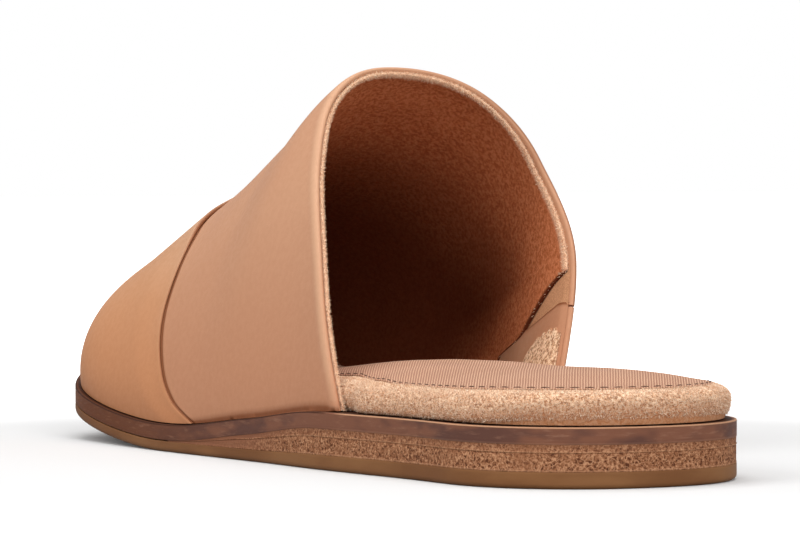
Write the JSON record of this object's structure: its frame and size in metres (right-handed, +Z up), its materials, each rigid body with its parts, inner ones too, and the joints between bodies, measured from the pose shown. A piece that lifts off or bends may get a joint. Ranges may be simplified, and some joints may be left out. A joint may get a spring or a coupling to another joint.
{
  "type": "house slipper",
  "caption": "Left slip-on house slipper: closed toe, open heel, leather upper with a side slit, cushioned footbed on a low stacked wedge.",
  "frame": {"origin": "on the floor, under the centre of the whole shoe's box", "axes": "+Y from toe to heel along the sole, +X towards the little toe, +Z up"},
  "size_m": [0.0964, 0.258, 0.0978],
  "materials": {
    "outsole_rubber": "smooth gum rubber",
    "wedge_leather": "rough speckled grain",
    "band_leather": "smooth, satin",
    "footbed_suede": "suede nap",
    "sock_fabric": "fine ribbed weave",
    "upper_leather": "smooth, satin, with a suede lining",
    "tab_leather": "smooth, satin",
    "gore_fabric": "plain elastic cloth"
  },
  "bodies": {
    "root": {"outsole": "outsole_rubber", "stacked_wedge": "wedge_leather", "midsole_band": "band_leather", "footbed": "footbed_suede", "sock_cloth": "sock_fabric", "upper": "upper_leather", "side_tab": "tab_leather", "elastic_gore": "gore_fabric"}
  },
  "joints": []
}
